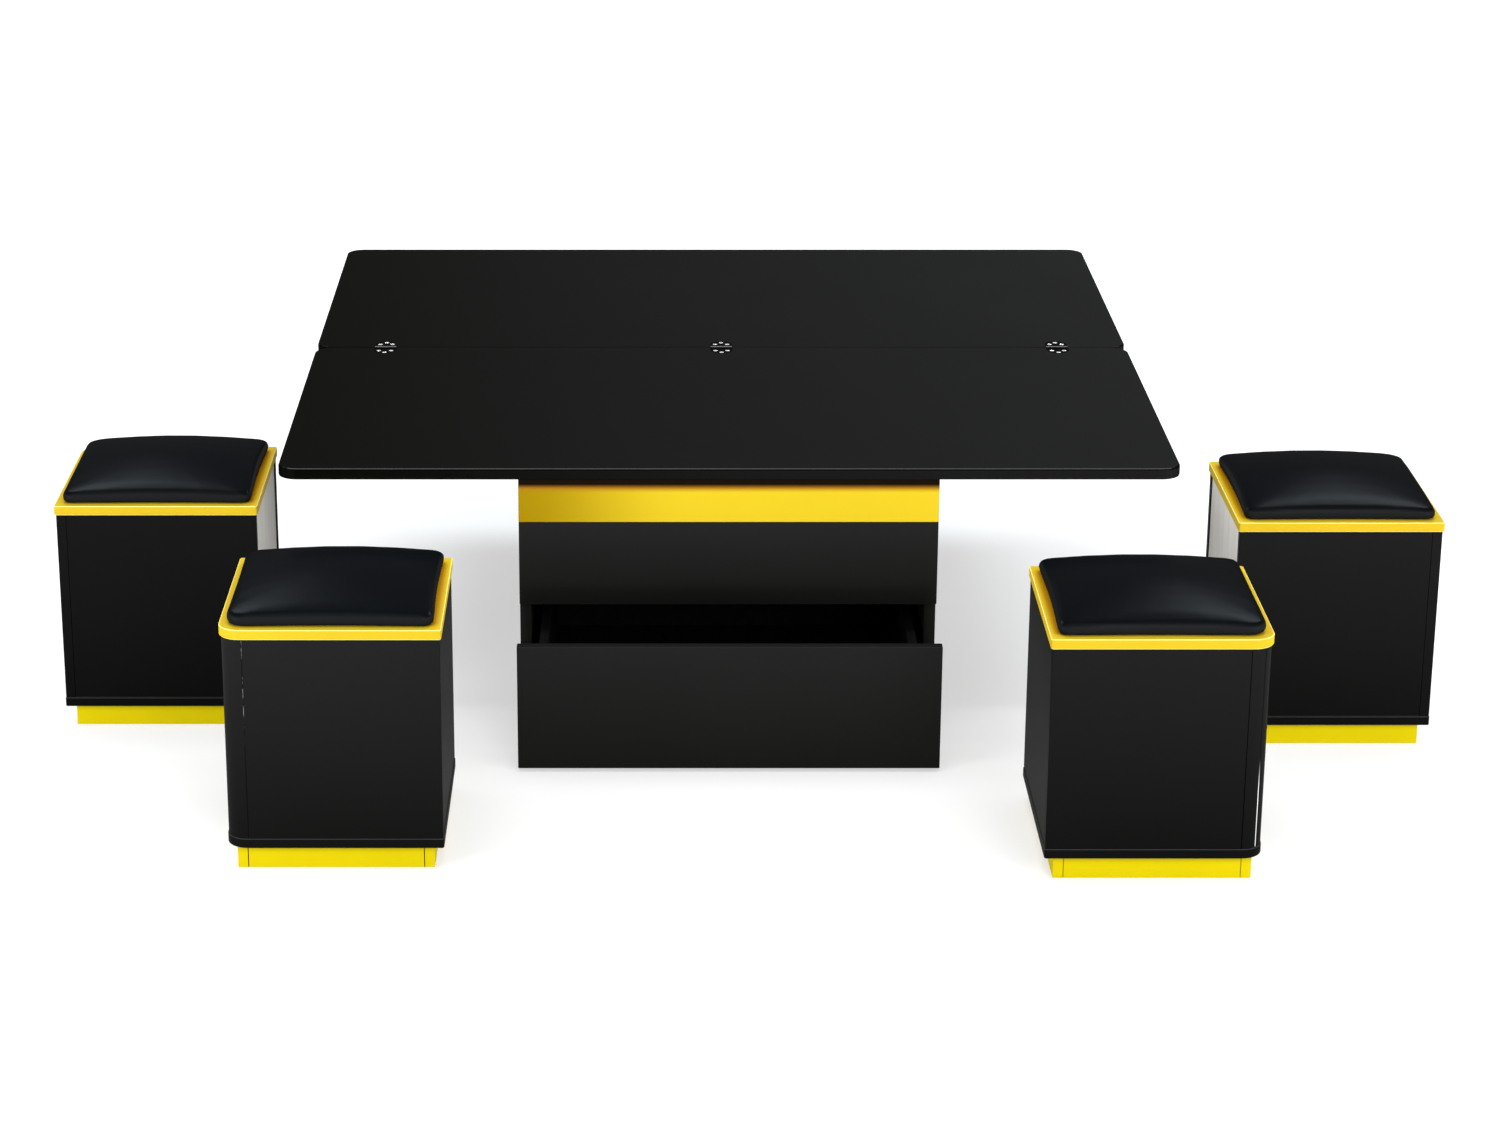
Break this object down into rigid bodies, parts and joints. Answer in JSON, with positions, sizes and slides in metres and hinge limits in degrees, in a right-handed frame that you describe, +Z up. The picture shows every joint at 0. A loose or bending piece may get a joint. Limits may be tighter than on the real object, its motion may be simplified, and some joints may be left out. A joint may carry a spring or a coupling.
{
  "type": "lift-top coffee table with stools",
  "caption": "Black and yellow coffee table with a fold-out lift top, a drawer and padded cube stools that tuck under its ends.",
  "frame": {"origin": "on the floor under the middle of the cabinet", "axes": "+Z up, -Y towards the drawer side, +Y towards the side on which the second leaf unfolds, X along the length of the tabletop"},
  "size_m": [2.172, 1.93, 0.4627],
  "materials": {
    "black_lacquer": "black lacquered board, satin to gloss",
    "tabletop_lacquer": "high gloss black lacquered board",
    "yellow_lacquer": "yellow lacquered board, satin",
    "grey_backing": "light grey backing board, matt",
    "drawer_board": "dark melamine board, matt",
    "cushion_leather": "black leather-like cover, soft sheen",
    "black_steel": "black powder coat",
    "slide_steel": "zinc-plated sheet steel",
    "hinge_steel": "black nickel plate with bright edges",
    "spring_tube": "gloss black paint",
    "spring_rod": "polished chrome"
  },
  "bodies": {
    "cabinet": {"base_side_left": "black_lacquer", "base_side_right": "black_lacquer", "base_back": "black_lacquer", "base_bottom": "drawer_board", "drawer_divider": "drawer_board", "front_fascia": "black_lacquer", "lift_base_frame": "black_steel", "slide_outer_left": "slide_steel", "slide_outer_right": "slide_steel"},
    "drawer": {"drawer_front": "black_lacquer", "drawer_side_left": "drawer_board", "drawer_side_right": "drawer_board", "drawer_back": "drawer_board", "drawer_bottom": "drawer_board", "slide_inner_left": "slide_steel", "slide_inner_right": "slide_steel"},
    "front_arms": {"front_arm_frame": "black_steel"},
    "rear_arms": {"rear_arm_frame": "black_steel"},
    "platform": {"lift_platform": "black_steel", "apron_frame": "yellow_lacquer", "fixed_leaf": "tabletop_lacquer", "hinge_plate_fixed_1": "hinge_steel", "hinge_plate_fixed_2": "hinge_steel", "hinge_plate_fixed_3": "hinge_steel"},
    "flip_leaf": {"flip_leaf": "tabletop_lacquer", "hinge_plate_flip_1": "hinge_steel", "hinge_plate_flip_2": "hinge_steel", "hinge_plate_flip_3": "hinge_steel"},
    "gas_cylinder_left": {"gas_cylinder_left": "spring_tube"},
    "gas_cylinder_right": {"gas_cylinder_right": "spring_tube"},
    "gas_rod_left": {"gas_rod_left": "spring_rod"},
    "gas_rod_right": {"gas_rod_right": "spring_rod"},
    "stool_front_left": {"stool_front_left_plinth": "yellow_lacquer", "stool_front_left_bottom_board": "black_lacquer", "stool_front_left_corner_shell": "black_lacquer", "stool_front_left_side_panel": "black_lacquer", "stool_front_left_backing_panel": "grey_backing", "stool_front_left_seat_board": "yellow_lacquer", "stool_front_left_cushion": "cushion_leather"},
    "stool_front_right": {"stool_front_right_plinth": "yellow_lacquer", "stool_front_right_bottom_board": "black_lacquer", "stool_front_right_corner_shell": "black_lacquer", "stool_front_right_side_panel": "black_lacquer", "stool_front_right_backing_panel": "grey_backing", "stool_front_right_seat_board": "yellow_lacquer", "stool_front_right_cushion": "cushion_leather"},
    "stool_back_left": {"stool_back_left_plinth": "yellow_lacquer", "stool_back_left_bottom_board": "black_lacquer", "stool_back_left_corner_shell": "black_lacquer", "stool_back_left_side_panel": "black_lacquer", "stool_back_left_backing_panel": "grey_backing", "stool_back_left_seat_board": "yellow_lacquer", "stool_back_left_cushion": "cushion_leather"},
    "stool_back_right": {"stool_back_right_plinth": "yellow_lacquer", "stool_back_right_bottom_board": "black_lacquer", "stool_back_right_corner_shell": "black_lacquer", "stool_back_right_side_panel": "black_lacquer", "stool_back_right_backing_panel": "grey_backing", "stool_back_right_seat_board": "yellow_lacquer", "stool_back_right_cushion": "cushion_leather"}
  },
  "joints": [
    {"name": "drawer_slide", "type": "slide", "parent": "cabinet", "child": "drawer", "axis": [0, -1, 0], "range_m": [-0.14, 0.26]},
    {"name": "top_lift", "type": "hinge", "parent": "cabinet", "child": "front_arms", "pos_m": [0, -0.225, 0.33], "axis": [1, 0, 0], "range_deg": [0, 75]},
    {"name": "rear_arm_swing", "type": "hinge", "parent": "cabinet", "child": "rear_arms", "pos_m": [0, -0.09, 0.3], "axis": [1, 0, 0], "range_deg": [0, 75]},
    {"name": "platform_swing", "type": "hinge", "parent": "front_arms", "child": "platform", "pos_m": [0, 0.1216, 0.37871], "axis": [1, 0, 0], "range_deg": [-75, 0]},
    {"name": "spring_left_lean", "type": "hinge", "parent": "cabinet", "child": "gas_cylinder_left", "pos_m": [-0.283, -0.1298, 0.25695], "axis": [1, 0, 0], "range_deg": [0, 37.5]},
    {"name": "spring_right_lean", "type": "hinge", "parent": "cabinet", "child": "gas_cylinder_right", "pos_m": [0.283, -0.1298, 0.25695], "axis": [1, 0, 0], "range_deg": [0, 37.5]},
    {"name": "rod_left_lean", "type": "hinge", "parent": "front_arms", "child": "gas_rod_left", "pos_m": [-0.283, -0.12379, 0.39448], "axis": [1, 0, 0], "range_deg": [-37.5, 0]},
    {"name": "rod_right_lean", "type": "hinge", "parent": "front_arms", "child": "gas_rod_right", "pos_m": [0.283, -0.12379, 0.39448], "axis": [1, 0, 0], "range_deg": [-37.5, 0]},
    {"name": "leaf_flip", "type": "hinge", "parent": "platform", "child": "flip_leaf", "pos_m": [0, 0.35, 0.46015], "axis": [1, 0, 0], "range_deg": [0, 180]},
    {"name": "stool_front_left_tuck", "type": "slide", "parent": "cabinet", "child": "stool_front_left", "axis": [0.1678, 0.9858, 0], "range_m": [0, 0.5244]},
    {"name": "stool_front_right_tuck", "type": "slide", "parent": "cabinet", "child": "stool_front_right", "axis": [-0.1995, 0.9799, 0], "range_m": [0, 0.5664]},
    {"name": "stool_back_left_tuck", "type": "slide", "parent": "cabinet", "child": "stool_back_left", "axis": [0.827, 0.5621, 0], "range_m": [0, 0.4945]},
    {"name": "stool_back_right_tuck", "type": "slide", "parent": "cabinet", "child": "stool_back_right", "axis": [-0.786, 0.6182, 0], "range_m": [0, 0.584]}
  ],
  "couplings": [
    {"joint": "rear_arm_swing", "follows": "top_lift", "ratio": 1},
    {"joint": "platform_swing", "follows": "top_lift", "ratio": -1},
    {"joint": "spring_left_lean", "follows": "top_lift", "ratio": 0.5},
    {"joint": "spring_right_lean", "follows": "top_lift", "ratio": 0.5},
    {"joint": "rod_left_lean", "follows": "top_lift", "ratio": -0.5},
    {"joint": "rod_right_lean", "follows": "top_lift", "ratio": -0.5}
  ]
}
